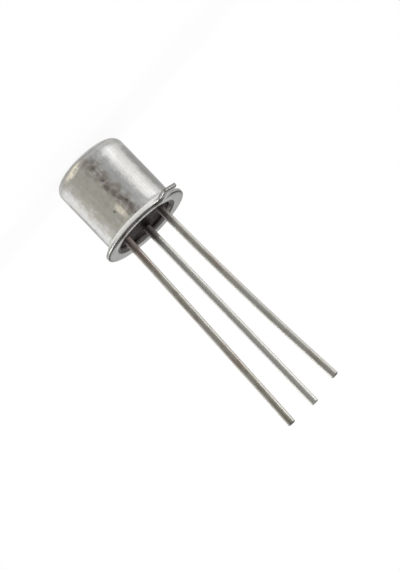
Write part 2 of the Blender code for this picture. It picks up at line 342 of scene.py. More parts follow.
def glass_creep(place):
    """The glass that has crept down a lead, as a small trumpet."""
    bore = LEAD_RADIUS + SEAT_GAP
    centre = lead_centre(place)
    loops = []
    for i in range(ARC_STEPS + 1):
        share = i / ARC_STEPS
        low = GLASS_DEPTH - GLASS_LEAD_CREEP * (1 - share) ** 2
        ring = circle(bore + GLASS_CREEP_WIDTH * share, low, LEAD_SIDES)
        loops.append([centre + point for point in ring])
    loops.append([point + Vector((0, 0, GLASS_LEAD_CREEP)) for point in loops[-1]])
    return loft("creep", loops)


def glass_seal():
    """The glass round the leads, with its creep up the cup's wall and down each lead."""
    radius = CUP_RADIUS - SEAT_GAP
    bore = LEAD_RADIUS + SEAT_GAP
    corner = (radius - PLATFORM_INNER_RADIUS, PLATFORM_UNDERSIDE - SEAT_GAP - PLATFORM_INNER_RADIUS)
    profile = arc(corner, PLATFORM_INNER_RADIUS, 90, 0)
    for i in range(ARC_STEPS + 1):
        share = i / ARC_STEPS
        low = GLASS_DEPTH - GLASS_RIM_CREEP * (1 - share) ** 2
        profile.append((radius - GLASS_CREEP_WIDTH * share, low))
    made = loft("seal_glass", [circle(r, z) for r, z in profile])
    for place in (EMITTER_PLACE, BASE_ONE_PLACE, BASE_TWO_PLACE):
        combine(made, glass_creep(place), "UNION")
    for place in (EMITTER_PLACE, BASE_ONE_PLACE):
        ring = rod("ring", POST_HOLE_RADIUS - SEAT_GAP, corner[1], PLATFORM_HEIGHT, place)
        combine(made, ring, "UNION")
    for place in (EMITTER_PLACE, BASE_ONE_PLACE, BASE_TWO_PLACE):
        combine(made, rod("bore", bore, 0, POST_TOP, place), "DIFFERENCE")
    return made


def lead(name, place, splay, reach, top):
    """A lead that is upright in the glass and then runs to its tip with a steady slight bend."""
    centres = [Vector((0, 0, top)), Vector((0, 0, GLASS_FOOT))]
    step = (reach + GLASS_FOOT) / LEAD_STATIONS
    for i in range(LEAD_STATIONS):
        lean = radians(splay[0] + (splay[1] - splay[0]) * (i + 0.5) / LEAD_STATIONS)
        centres.append(centres[-1] + Vector((step * tan(lean), 0, -step)))
    stations = [(centres[0], LEAD_RADIUS - LEAD_BEVEL)]
    first_way = (centres[1] - centres[0]).normalized()
    last_way = (centres[-1] - centres[-2]).normalized()
    stations.append((centres[0] + first_way * LEAD_BEVEL, LEAD_RADIUS))
    stations += [(centre, LEAD_RADIUS) for centre in centres[1:-1]]
    stations.append((centres[-1] - last_way * LEAD_BEVEL, LEAD_RADIUS))
    stations.append((centres[-1], LEAD_RADIUS - LEAD_BEVEL))
    side = Vector((0, 1, 0))
    turns = [2 * pi * (k + 0.5) / LEAD_SIDES for k in range(LEAD_SIDES)]
    loops = []
    for i, (centre, radius) in enumerate(stations):
        before, after = stations[max(i - 1, 0)][0], stations[min(i + 1, len(stations) - 1)][0]
        across = (after - before).normalized().cross(side)
        loops.append([centre + (across * cos(a) + side * sin(a)) * radius for a in turns])
    spin = Matrix.Rotation(radians(place), 4, "Z")
    made = loft(name, loops)
    made.matrix_world = CAN_FRAME @ Matrix.Translation(lead_centre(place)) @ spin
    return made


# Finishes

# Range that a noise's values mostly lie in
CLOUD_RANGE = (0.3, 0.7)

# Edge of an oval mark, as shares of its half width: where it starts to fade and where it ends, and how
# far it wanders in all, if nothing else is said. Then how far a streak's edge wanders to each side.
MARK_EDGE = (0.45, 1.25)
MARK_WANDER = 0.7
STREAK_WANDER = 1 / 3

# Sheen of a plain surface, and the sockets of the mix node: its share, its two colours and its result
PLAIN_SPECULAR = 0.5
MIX_SHARE = 0
MIX_FIRST = 6
MIX_SECOND = 7
MIX_RESULT = 2


def node(tree, kind, inputs=None, **settings):
    """Adds a node with its settings. An input is a value, or the socket that it is joined to."""
    made = tree.nodes.new(kind)
    for key, value in settings.items():
        setattr(made, key, value)
    for key, value in (inputs or {}).items():
        if isinstance(value, bpy.types.NodeSocket):
            tree.links.new(value, made.inputs[key])
        else:
            made.inputs[key].default_value = value
    return made


def places(tree, stretch=(1, 1, 1)):
    """The piece's own coordinates in millimetres, divided by the stretch along each axis."""
    own = node(tree, "ShaderNodeTexCoord").outputs["Object"]
    scale = [MILLIMETRES / s for s in stretch]
    return node(tree, "ShaderNodeMapping", {"Vector": own, "Scale": scale}).outputs["Vector"]


def axes(tree, where):
    """The three coordinates of a place."""
    return list(node(tree, "ShaderNodeSeparateXYZ", {0: where}).outputs)


def cloud(tree, where, scale, detail, rough, seed):
    """Noise from 0 to 1, with a scale in cycles a millimetre."""
    inputs = {"Vector": where, "W": seed, "Scale": scale, "Detail": detail, "Roughness": rough}
    return node(tree, "ShaderNodeTexNoise", inputs, noise_dimensions="4D").outputs["Fac"]


def span(tree, value, low, high, to_low=0.0, to_high=1.0):
    """Turns the range from low to high into another one, smoothly, and holds it beyond the ends."""
    inputs = {"Value": value, "From Min": low, "From Max": high, "To Min": to_low, "To Max": to_high}
    made = node(tree, "ShaderNodeMapRange", inputs, interpolation_type="SMOOTHSTEP")
    return made.outputs["Result"]


def fall(tree, value, low, high):
    """1 up to the low end of a range, and smoothly down to 0 at its high end."""
    return span(tree, value, low, high, 1.0, 0.0)


def math(tree, operation, first, second=0.0):
    """One step of arithmetic on two values."""
    return node(tree, "ShaderNodeMath", {0: first, 1: second}, operation=operation).outputs[0]


def times(tree, first, *others):
    """Values multiplied together."""
    for other in others:
        first = math(tree, "MULTIPLY", first, other)
    return first


def vectors(tree, operation, first, second=(0, 0, 0), result=0):
    """One step of arithmetic on two vectors."""
    made = node(tree, "ShaderNodeVectorMath", {0: first, 1: second}, operation=operation)
    return made.outputs[result]


def blend(tree, share, first, second, kind="MIX"):
    """Mixes two colours, each a socket or three numbers."""
    made = node(tree, "ShaderNodeMix", data_type="RGBA", blend_type=kind)
    for key, value in ((MIX_SHARE, share), (MIX_FIRST, first), (MIX_SECOND, second)):
        if isinstance(value, bpy.types.NodeSocket):
            tree.links.new(value, made.inputs[key])
        elif key == MIX_SHARE:
            made.inputs[key].default_value = value
        else:
            made.inputs[key].default_value = (*value, 1)
    return made.outputs[MIX_RESULT]


def tint(tree, share, most, colour, other):
    """Blends another colour into a colour, by a share of the most that it may have."""
    return blend(tree, times(tree, share, most), colour, other)


def shade(tree, colour, value):
    """A colour made lighter or darker by a value."""
    grey = node(tree, "ShaderNodeCombineXYZ", {0: value, 1: value, 2: value}).outputs[0]
    return blend(tree, 1.0, colour, grey, "MULTIPLY")


def finish(colour, roughness, height, bump, bump_depth, metallic=1.0, specular=PLAIN_SPECULAR):
    """Joins colour, roughness and surface height to the shader of the material that they are in."""
    tree = colour.node.id_data
    shader = tree.nodes["Principled BSDF"]
    tree.links.new(colour, shader.inputs["Base Color"])
    tree.links.new(roughness, shader.inputs["Roughness"])
    shader.inputs["Metallic"].default_value = metallic
    shader.inputs["Specular IOR Level"].default_value = specular
    inputs = {"Height": height, "Strength": bump, "Distance": bump_depth}
    tree.links.new(node(tree, "ShaderNodeBump", inputs).outputs["Normal"], shader.inputs["Normal"])


def new_look(name):
    """An empty material and its node tree."""
    made = bpy.data.materials.new(name)
    made.use_nodes = True
    return made, made.node_tree


def wall_map(tree, where):
    """The cap's wall unrolled: millimetres round it from the side with no lead, and its height."""
    x, y, height = axes(tree, where)
    turn = math(tree, "ARCTAN2", x, times(tree, y, -1.0))
    round_wall = times(tree, turn, CAP_RADIUS * MILLIMETRES)
    return node(tree, "ShaderNodeCombineXYZ", {0: round_wall, 1: height}).outputs[0]


def mark(tree, sheet, ragged, place, size, wander=MARK_WANDER):
    """1 in the middle of an oval mark on the unrolled wall, and 0 beyond its ragged edge."""
    moved = vectors(tree, "SUBTRACT", sheet, (*place, 0))
    scaled = vectors(tree, "DIVIDE", moved, (*size, 1))
    far = vectors(tree, "LENGTH", scaled, result="Value")
    edge = span(tree, ragged, *CLOUD_RANGE, -wander / 2, wander / 2)
    return fall(tree, math(tree, "ADD", far, edge), *MARK_EDGE)


def streak(tree, sheet, ragged, foot, top, half_width):
    """1 on a line up the unrolled wall, fading to 0 at about the half width on each side of it."""
    round_wall, height, _ = axes(tree, sheet)
    lean = (top[0] - foot[0]) / (top[1] - foot[1])
    line = math(tree, "ADD", times(tree, height, lean), foot[0] - lean * foot[1])
    far = math(tree, "ABSOLUTE", math(tree, "SUBTRACT", round_wall, line))
    wander = half_width * STREAK_WANDER
    edge = span(tree, ragged, *CLOUD_RANGE, -wander, wander)
    return fall(tree, math(tree, "ADD", far, edge), 0.0, half_width)


# Cap's colours: nickel, olive tarnish, lighter and darker painted shade, a stain that also paints a dark
# reflection, a painted highlight, a worn edge with a painted highlight, and dark spots
NICKEL = (0.535, 0.535, 0.525)
NICKEL_OLIVE = (0.41, 0.393, 0.345)
NICKEL_GREY_SHADE = (0.35, 0.355, 0.345)
NICKEL_DARK_SHADE = (0.24, 0.237, 0.225)
NICKEL_STAIN_AND_SHADE = (0.235, 0.207, 0.18)
NICKEL_HIGHLIGHT = (0.86, 0.80, 0.66)
NICKEL_WORN_HIGHLIGHT = (0.79, 0.78, 0.75)
SPOT_COLOUR = (0.07, 0.06, 0.06)

# Cap's noises: cycles a millimetre, detail, roughness and seed. The drawn lines are stretched up it.
CAP_RAGGED = (2.6, 6, 0.65, 11.0)
CAP_MOTTLE = (3.4, 7, 0.7, 3.0)
CAP_FINE = (13, 5, 0.65, 5.0)
CAP_DRAWN = (9, 4, 0.6, 7.0)
CAP_DRAWN_STRETCH = (1, 1, 14)
CAP_CAST = (0.45, 3, 0.5, 1.0)
CAP_SPECKLE = (6.5, 5, 0.7, 21.0)

# What those noises do, alone or two of them added: the range of their values, and what it turns into
# if that isn't 0 to 1
OLIVE_CAST = (0.45, 0.6, 0.0, 0.25)
BROWN_MOTTLE = (0.42, 0.7)
RING_BREAKS = (0.35, 0.6, 0.55, 1.0)
STREAK_MOTTLE = (0.3, 0.6, 0.6, 1.0)
STREAK_SPECKLE = (0.56, 0.68)
HIGHLIGHT_BREAKS = (0.75, 1.15, 0.3, 1.0)
CAP_SHADES = (0.7, 1.3, 0.87, 1.11)
CAP_ROUGHNESS = (0.7, 1.3, 0.36, 0.46)

# Cap's marks, in millimetres on the unrolled wall. An oval has its place round the wall and up it, and
# its half width and half height. The streak has its foot, its top and its half width, and fades out
# between two heights. A ring round the shoulder has its height, half width and strength. The olive
# patch is tarnish with painted shade; the grey patch, the two sides and the shoulder rings are painted
# shade; the streak is a stain with a painted dark reflection; the cream patches are painted highlights.
OLIVE_TARNISH_AND_SHADE = ((-0.92, 2.6), (1.32, 3.9))
GREY_SHADE_PATCH = ((0.70, 2.4), (0.48, 2.8))
SIDE_SHADES = (((2.9, 2.2), (0.72, 2.9)), ((-3.3, 2.2), (0.45, 2.9)))
STAIN_AND_SHADE_STREAK = ((0.17, 0.5), (0.07, 4.7), 0.56)
STREAK_FADE = (4.4, 4.85)
SHOULDER_SHADE_RINGS = ((4.50, 0.26, 0.42), (4.82, 0.09, 0.6))
HIGHLIGHT_PATCHES = (((-0.39, 1.18), (0.19, 0.56)), ((-0.98, 4.63), (0.66, 0.25)),
                 ((-0.5, 4.77), (0.4, 0.08)))
SPOTS = (((0.04, 3.04), (0.12, 0.16)), ((-0.70, 1.33), (0.07, 0.09)), ((0.25, 1.33), (0.10, 0.12)))
SMUDGES = (((0.26, 4.26), (0.19, 0.16)), ((0.08, 3.91), (0.17, 0.20)), ((0.02, 3.52), (0.13, 0.20)),
           ((-0.10, 2.61), (0.14, 0.20)), ((0.0, 2.10), (0.18, 0.20)), ((0.13, 1.68), (0.16, 0.20)),
           ((0.22, 0.91), (0.20, 0.25)))

# Cap's flange, in millimetres: the height up to which it is worn bright with a painted highlight and the
# fade above that, how far round the wall the wear and highlight fade out and the painted shade sets in,
# and how much sooner on the tab's side
EDGE_BAND_HEIGHT = 0.36
EDGE_BAND_FADE = 0.12
EDGE_WEAR_AND_HIGHLIGHT_ENDS = (2.0, 2.8)
EDGE_SHADE_ENDS = (2.3, 3.2)
TAB_SIDE_SHIFT = 0.7

# How strong the cap's marks are, how far the edges of the painted shade at its sides wander, what share
# of the roughness its bare flange keeps, and the strength of its relief and its depth in metres
MOTTLE_STRENGTH = 0.2
SPECKLE_STRENGTH = 0.55
SMUDGE_STRENGTH = 0.38
SPOT_STRENGTH = 0.75
EDGE_STRENGTH = 0.9
SIDE_WANDER = 0.3
EDGE_POLISH = 0.5
CAP_BUMP = (0.35, 1.5e-6)


def nickel_cast_and_shade(tree, where, sheet, ragged, mottle):
    """The cap's nickel with its olive cast, olive tarnish with painted shade, painted shade in a grey
    patch and at its sides, and brown mottle.
    """
    cast = span(tree, cloud(tree, where, *CAP_CAST), *OLIVE_CAST)
    # olive tarnish with painted shade, then painted shade in a grey patch and at the two sides
    olive_and_shade = math(tree, "MAXIMUM", mark(tree, sheet, ragged, *OLIVE_TARNISH_AND_SHADE), cast)
    colour = blend(tree, olive_and_shade, NICKEL, NICKEL_OLIVE)
    colour = blend(tree, mark(tree, sheet, ragged, *GREY_SHADE_PATCH), colour, NICKEL_GREY_SHADE)
    for side in SIDE_SHADES:
        colour = blend(tree, mark(tree, sheet, ragged, *side, SIDE_WANDER), colour, NICKEL_DARK_SHADE)
    return tint(tree, span(tree, mottle, *BROWN_MOTTLE), MOTTLE_STRENGTH, colour, NICKEL_STAIN_AND_SHADE)


def shoulder_shade_rings(tree, colour, ragged, height):
    """Adds the broken rings of painted shade round the cap's shoulder."""
    broken = span(tree, ragged, *RING_BREAKS)
    for level, half_width, strength in SHOULDER_SHADE_RINGS:
        far = math(tree, "ABSOLUTE", math(tree, "SUBTRACT", height, level))
        # a ring of painted shade
        ring = times(tree, fall(tree, far, 0.0, half_width), broken)
        colour = tint(tree, ring, strength, colour, NICKEL_DARK_SHADE)
    return colour


def stain_and_shade_streak(tree, colour, where, sheet, ragged, mottle, height):
    """Adds the mottled brown streak up the cap's wall, a stain with a painted dark reflection, and its
    dark speckles.
    """
    # stain with a painted dark reflection of what faces the wall
    stain_and_shade = times(tree, streak(tree, sheet, ragged, *STAIN_AND_SHADE_STREAK), fall(tree, height, *STREAK_FADE))
    colour = tint(tree, stain_and_shade, span(tree, mottle, *STREAK_MOTTLE), colour, NICKEL_STAIN_AND_SHADE)
    speckled = span(tree, cloud(tree, where, *CAP_SPECKLE), *STREAK_SPECKLE)
    return tint(tree, times(tree, stain_and_shade, speckled), SPECKLE_STRENGTH, colour, SPOT_COLOUR)


def patches_and_spots(tree, colour, sheet, ragged, fine):
    """Adds the cream patches of painted highlight, the smudges and the dark spots."""
    broken_highlight = span(tree, math(tree, "ADD", fine, ragged), *HIGHLIGHT_BREAKS)
    for patch in HIGHLIGHT_PATCHES:
        # painted highlight
        colour = tint(tree, mark(tree, sheet, ragged, *patch), broken_highlight, colour, NICKEL_HIGHLIGHT)
    for marks, strength in ((SMUDGES, SMUDGE_STRENGTH), (SPOTS, SPOT_STRENGTH)):
        for oval in marks:
            colour = tint(tree, mark(tree, sheet, ragged, *oval), strength, colour, SPOT_COLOUR)
    return colour


def flange_wear_and_light(tree, colour, sheet, height):
    """Brightens the cap's flange with wear and a painted highlight, and darkens its two ends with painted
    shade. It also gives how bare the flange is.
    """
    round_wall = axes(tree, sheet)[0]
    beside = math(tree, "MAXIMUM", times(tree, round_wall, -1.0),
                  math(tree, "ADD", round_wall, TAB_SIDE_SHIFT))
    on_flange = fall(tree, height, EDGE_BAND_HEIGHT, EDGE_BAND_HEIGHT + EDGE_BAND_FADE)
    # painted shade on the two ends of the flange
    dulled = times(tree, on_flange, span(tree, beside, *EDGE_SHADE_ENDS))
    colour = tint(tree, dulled, EDGE_STRENGTH, colour, NICKEL_DARK_SHADE)
    # the flange's wear, with a painted highlight
    worn_highlight = times(tree, on_flange, fall(tree, beside, *EDGE_WEAR_AND_HIGHLIGHT_ENDS))
    return tint(tree, worn_highlight, EDGE_STRENGTH, colour, NICKEL_WORN_HIGHLIGHT), worn_highlight


def nickel_plate():
    """The cap's satin nickel: stained, patched and spotted, with painted shade, painted highlights and a
    painted dark reflection, drawn lines and a bare flange with a painted highlight.
    """
    made, tree = new_look("nickel_plate")
    where = places(tree)
    sheet = wall_map(tree, where)
    height = axes(tree, where)[2]
    ragged = cloud(tree, where, *CAP_RAGGED)
    mottle = cloud(tree, where, *CAP_MOTTLE)
    fine = cloud(tree, where, *CAP_FINE)
    drawn = cloud(tree, places(tree, CAP_DRAWN_STRETCH), *CAP_DRAWN)
    colour = nickel_cast_and_shade(tree, where, sheet, ragged, mottle)
    colour = shoulder_shade_rings(tree, colour, ragged, height)
    colour = stain_and_shade_streak(tree, colour, where, sheet, ragged, mottle, height)
    colour = patches_and_spots(tree, colour, sheet, ragged, fine)
    colour, worn_highlight = flange_wear_and_light(tree, colour, sheet, height)
    grain = math(tree, "ADD", fine, drawn)
    colour = shade(tree, colour, span(tree, grain, *CAP_SHADES))
    roughness = span(tree, math(tree, "ADD", fine, mottle), *CAP_ROUGHNESS)
    roughness = times(tree, roughness, span(tree, worn_highlight, 0.0, 1.0, 1.0, EDGE_POLISH))
    finish(colour, roughness, grain, *CAP_BUMP)
    return made


# Header's colours: plain, dull, a painted highlight, painted shade at the edge's ends, painted shade at
# the lip, a darker cup wall, and painted shade along the edge
PLATE = (0.44, 0.445, 0.43)
PLATE_DULL = (0.36, 0.36, 0.34)
PLATE_HIGHLIGHT = (0.76, 0.75, 0.72)
PLATE_EDGE_SHADE = (0.16, 0.16, 0.15)
PLATE_LIP_SHADE = (0.165, 0.15, 0.143)
CUP_WALL_DARK = (0.05, 0.042, 0.040)
PLATE_DARK_SHADE = (0.032, 0.028, 0.023)

# Header's noises: cycles a millimetre, detail, roughness and seed, the range of the dull patches, and
# the roughness that the fine one gives, from its lowest to its highest
PLATE_PATCHES = (1.1, 5, 0.6, 2.0)
PLATE_FINE = (14, 4, 0.6, 4.0)
PLATE_PATCH_RANGE = (0.4, 0.65)
PLATE_ROUGHNESS = (0.36, 0.48)

# Sides of the header, in millimetres, each between two places. Toward the side with no lead the crease's
# painted shade ends and the underside gets a painted highlight, the edge gets a painted highlight, and
# the painted shade along the edge sets in. The edge gets painted shade toward base two, and on the tab's
# side from nothing to a share.
FREE_SIDE = (-0.4, -1.6)
HIGHLIGHT_SIDE = (-1.0, -2.0)
EDGE_SHADE_SIDE = (1.2, -0.6)
SHADED_END = (-1.3, -2.3)
SHADED_TAB_SIDE = (0.9, 1.8, 0.0, 0.6)

# Header's painted shade, in millimetres: the heights between which the flange's edge turns from shaded
# to plain, how far in from the edge its underside does, and from where to where to each side that strip
# narrows and by how little to how much. Then how far in the edge's shaded ends reach and how far in
# from its tip the tab is shaded, the heights between which its upper edge turns shaded, and the fade at
# its root.
EDGE_SHADE_FADE = (0.005, 0.06)
UNDERSIDE_SHADE = (0.36, 0.58)
SHADE_NARROWS = (1.3, 2.7, 0.0, 0.36)
SHADED_EDGE = (0.03, 0.09)
TAB_TIP_SHADE = (0.02, 0.10)
TAB_TOP_SHADE = (0.14, 0.19)
TAB_FADE = 0.1

# Cup's mouth, in millimetres: the fade where the flange starts, the heights between which the cup's
# wall turns dark, how far from that wall the crease's painted shade starts, is darkest, fades and ends,
# and how much nearer to the wall the lip's painted shade ends on the side with no lead
MOUTH_FADE = 0.05
CUP_DARK_START = (0.17, 0.20)
CREASE = (0.07, 0.10, 0.23, 0.29)
LIP_PUSH = 0.08

# How strong the header's marks are, how much of the edge's painted shade the tab has, how much rougher
# the lip is, and the strength of the relief and its depth in metres
HIGHLIGHT_STRENGTH = 0.6
EDGE_SHADE_STRENGTH = 0.8
TAB_SHADE_SHARE = 0.5
TAB_SHADE_STRENGTH = 0.7
CREASE_STRENGTH = 0.94
CUP_STRENGTH = 0.9
LIP_ROUGHNESS = 0.35
PLATE_BUMP = (0.2, 2e-6)


def flange_inset(tree, where, radius):
    """How far inside the flange's outline a point lies, and how far in from the tab's tip."""
    inputs = {"Vector": where, "Axis": (0, 0, 1), "Angle": -radians(TAB_ANGLE)}
    along, across, _ = axes(tree, node(tree, "ShaderNodeVectorRotate", inputs).outputs[0])
    beside = math(tree, "SUBTRACT", TAB_WIDTH * MILLIMETRES / 2, math(tree, "ABSOLUTE", across))
    tip = math(tree, "SUBTRACT", (FLANGE_RADIUS + TAB_LENGTH) * MILLIMETRES, along)
    on_round = math(tree, "SUBTRACT", FLANGE_RADIUS * MILLIMETRES, radius)
    return math(tree, "MAXIMUM", on_round, math(tree, "MINIMUM", beside, tip)), tip


def header_places(tree, where):
    """What the marks go by: where a point lies, how far in from the edge, and on which side."""
    x, y, height = axes(tree, where)
    flat = node(tree, "ShaderNodeCombineXYZ", {0: x, 1: y}).outputs[0]
    radius = vectors(tree, "LENGTH", flat, result="Value")
    inset, tip = flange_inset(tree, where, radius)
    mouth = (CUP_RADIUS + HEADER_WALL) * MILLIMETRES
    outside = span(tree, radius, mouth, mouth + MOUTH_FADE)
    free_side = span(tree, y, *FREE_SIDE)
    return SimpleNamespace(x=x, y=y, height=height, radius=radius, inset=inset, tip=tip,
                           outside=outside, free_side=free_side)


def rim_highlight_and_shade(tree, colour, at):
    """Paints a highlight on the flange on the side with no lead, and painted shade on the two ends of its
    edge.
    """
    # painted highlight on the underside and the edge
    inner = times(tree, at.free_side, span(tree, at.inset, *UNDERSIDE_SHADE), at.outside)
    colour = tint(tree, inner, HIGHLIGHT_STRENGTH, colour, PLATE_HIGHLIGHT)
    above = span(tree, at.height, *EDGE_SHADE_FADE)
    rim = times(tree, at.outside, above, span(tree, at.y, *HIGHLIGHT_SIDE))
    colour = blend(tree, rim, colour, PLATE_HIGHLIGHT)
    ends = math(tree, "MAXIMUM", span(tree, at.x, *SHADED_END), span(tree, at.x, *SHADED_TAB_SIDE))
    dulled = times(tree, ends, fall(tree, at.inset, *SHADED_EDGE))
    return tint(tree, dulled, EDGE_SHADE_STRENGTH, colour, PLATE_EDGE_SHADE)


def edge_shade(tree, colour, at):
    """Adds painted shade along the flange's edge and round the tab's upper edge and tip."""
    flange = FLANGE_RADIUS * MILLIMETRES
    on_round = span(tree, at.radius, flange, flange + TAB_FADE, 1.0, TAB_SHADE_SHARE)
    low = fall(tree, at.height, *EDGE_SHADE_FADE)
    narrower = span(tree, math(tree, "ABSOLUTE", at.x), *SHADE_NARROWS)
    under = fall(tree, math(tree, "ADD", at.inset, narrower), *UNDERSIDE_SHADE)
    # painted shade along the edge
    edge = times(tree, low, under, span(tree, at.y, *EDGE_SHADE_SIDE), at.outside, on_round)
    colour = blend(tree, edge, colour, PLATE_DARK_SHADE)
    tab = TAB_LENGTH * MILLIMETRES
    on_tab = fall(tree, at.tip, tab - TAB_FADE, tab)
    top_edge = times(tree, span(tree, at.height, *TAB_TOP_SHADE), on_tab)
    tab_edge = math(tree, "MAXIMUM", top_edge, fall(tree, at.tip, *TAB_TIP_SHADE))
    return tint(tree, times(tree, tab_edge, at.outside), TAB_SHADE_STRENGTH, colour, PLATE_DARK_SHADE)


def mouth_shade(tree, colour, at):
    """Darkens the cup's lip and the crease round its mouth with painted shade, and darkens its wall. It
    also gives the lip.
    """
    wall = CUP_RADIUS * MILLIMETRES
    start, darkest, fading, end = (wall + step for step in CREASE)
    pushed = math(tree, "ADD", at.radius, times(tree, at.free_side, LIP_PUSH))
    # painted shade at the lip and in the crease
    lip = fall(tree, pushed, start, darkest)
    colour = blend(tree, lip, colour, PLATE_LIP_SHADE)
    crease = times(tree, span(tree, at.radius, start, darkest), fall(tree, at.radius, fading, end))
    crease = times(tree, crease, math(tree, "SUBTRACT", 1.0, at.free_side))
    colour = tint(tree, crease, CREASE_STRENGTH, colour, PLATE_DARK_SHADE)
    cup = times(tree, span(tree, at.height, *CUP_DARK_START), lip)
    return tint(tree, cup, CUP_STRENGTH, colour, CUP_WALL_DARK), lip


def header_plate():
    """The header's satin plate: painted highlights and painted shade on the rim, and painted shade on the
    edge and at the cup's mouth, with a darker cup wall.
    """
    made, tree = new_look("header_plate")
    where = places(tree)
    at = header_places(tree, where)
    dull = span(tree, cloud(tree, where, *PLATE_PATCHES), *PLATE_PATCH_RANGE)
    colour = blend(tree, dull, PLATE, PLATE_DULL)
    colour = rim_highlight_and_shade(tree, colour, at)
    colour = edge_shade(tree, colour, at)
    colour, lip = mouth_shade(tree, colour, at)
    fine = cloud(tree, where, *PLATE_FINE)
    roughness = span(tree, fine, *CLOUD_RANGE, *PLATE_ROUGHNESS)
    finish(colour, math(tree, "ADD", roughness, times(tree, lip, LIP_ROUGHNESS)), fine, *PLATE_BUMP)
    return made


# Glass's colours: dark, brown and a painted shadow
GLASS_DARK = (0.03, 0.027, 0.027)
GLASS_BROWN = (0.062, 0.052, 0.05)
GLASS_SHADOW = (0.002, 0.001, 0.001)

# Glass's noises: cycles a millimetre, detail, roughness and seed, the range of the brown patches, and
# the roughness from the sheen's lowest to its highest
GLASS_PATCHES = (1.5, 4, 0.6, 1.0)
GLASS_RAGGED = (3.0, 5, 0.6, 8.0)
GLASS_SKIN = (3, 3, 0.5, 2.0)
GLASS_SHEEN = (6, 4, 0.6, 3.0)
GLASS_PATCH_RANGE = (0.4, 0.65)
GLASS_ROUGHNESS = (0.5, 0.68)

# Painted shadow of the middle lead on the glass in front of it, in millimetres: its place, its half
# width and half length, and how far its edge wanders. Then the strength of the relief and its depth in
# metres, and the sheen.
LEAD_SHADOW = ((0.13, 0.45), (0.32, 1.5), 0.4)
GLASS_BUMP = (0.3, 8e-6)
GLASS_SPECULAR = 0.04


def seal_glass():
    """Dark sealing glass with a brown cast, a painted shadow of the middle lead and a dull, slightly
    uneven skin.
    """
    made, tree = new_look("seal_glass")
    where = places(tree)
    patch = span(tree, cloud(tree, where, *GLASS_PATCHES), *GLASS_PATCH_RANGE)
    colour = blend(tree, patch, GLASS_DARK, GLASS_BROWN)
    ragged = cloud(tree, where, *GLASS_RAGGED)
    flat = vectors(tree, "MULTIPLY", where, (1, 1, 0))
    # painted shadow of the middle lead
    colour = blend(tree, mark(tree, flat, ragged, *LEAD_SHADOW), colour, GLASS_SHADOW)
    skin = cloud(tree, where, *GLASS_SKIN)
    roughness = span(tree, cloud(tree, where, *GLASS_SHEEN), *CLOUD_RANGE, *GLASS_ROUGHNESS)
    finish(colour, roughness, skin, *GLASS_BUMP, metallic=0.0, specular=GLASS_SPECULAR)
    return made


# Wire's colours: plated, a painted highlight, tarnished, stained brown, dirty at the cut end and painted
# shade at the root
WIRE = (0.37, 0.365, 0.342)
WIRE_HIGHLIGHT = (0.68, 0.67, 0.64)
WIRE_TARNISH = (0.175, 0.166, 0.12)
WIRE_BROWN = (0.2, 0.152, 0.128)
WIRE_END = (0.035, 0.032, 0.03)
WIRE_ROOT_SHADE = (0.17, 0.143, 0.135)

# Wire's noises, each with its stretch along the lead's axes: cycles a millimetre, detail and roughness
WIRE_PATCHES = ((1, 1, 2.5), (1.6, 6, 0.65))
WIRE_SPECKS = ((1, 1, 1), (7, 5, 0.7))
WIRE_DRAWN = ((1, 1, 40), (20, 1, 0.5))
WIRE_WANDER = ((1, 1, 15), (3, 2, 0.5))
WIRE_STAINS = ((1, 1, 3), (2.2, 4, 0.6))

# What those noises do, alone or two of them added: the range of their values, and what it turns into
# if that isn't 0 to 1
WIRE_PATCH_RANGE = (0.42, 0.66, 0.5, 1.0)
WIRE_SPECK_RANGE = (0.5, 0.72)
WIRE_STAIN_RANGE = (0.5, 0.66)
WIRE_ROUGHNESS = (0.5, 1.5, 0.38, 0.5)

# How far below the flange the root's painted shade ends and over how long the painted highlight lines
# set in, in millimetres. Then those lines: the turn round the can's axis that each faces, and its half
# width, in degrees, and its strength. The cosine of that half width wanders.
ROOT_SHADE_END = 1.3
HIGHLIGHT_FADE = 0.25
HIGHLIGHT_LINES = ((-35, 24, 0.36), (-172, 58, 0.3))
HIGHLIGHT_WANDER = (-0.03, 0.03)

# How strong the wire's specks and the painted shade at its root are, how much rougher its root is, how
# far along the wire its cut end faces, and the strength of its relief and its depth in metres
SPECK_STRENGTH = 0.5
ROOT_SHADE_STRENGTH = 0.9
ROOT_ROUGHNESS = 0.3
END_FACING = (-0.9, -0.7)
WIRE_BUMP = (0.2, 2e-6)

# Wear and painted light of each lead: how tarnished it is, how far below the flange its painted highlight
# lines start, in millimetres, how dirty its cut end is and how light the painted shade at its root is.
# Then how far apart the leads' seeds are.
EMITTER_WEAR_AND_LIGHT = (0.5, 0.1, 0.8, 0.75)
BASE_ONE_WEAR_AND_LIGHT = (0.05, 0.5, 0.3, 0.6)
BASE_TWO_WEAR_AND_LIGHT = (0.9, 0.55, 0.95, 1.5)
SEED_STEP = 10


def wire_cloud(tree, kind, seed):
    """One of the wire's noises."""
    stretch, grain = kind
    return cloud(tree, places(tree, stretch), *grain, seed)


def paint_highlight_lines(tree, colour, place, highlight_share, facing, wander):
    """Adds the painted highlight lines along a lead."""
    for turn, half_width, strength in HIGHLIGHT_LINES:
        angle = radians(turn - place)
        toward = vectors(tree, "DOT_PRODUCT", facing, (cos(angle), sin(angle), 0), "Value")
        # painted highlight line
        lit_line = span(tree, math(tree, "ADD", toward, wander), cos(radians(half_width)), 1.0)
        colour = tint(tree, times(tree, lit_line, highlight_share), strength, colour, WIRE_HIGHLIGHT)
    return colour


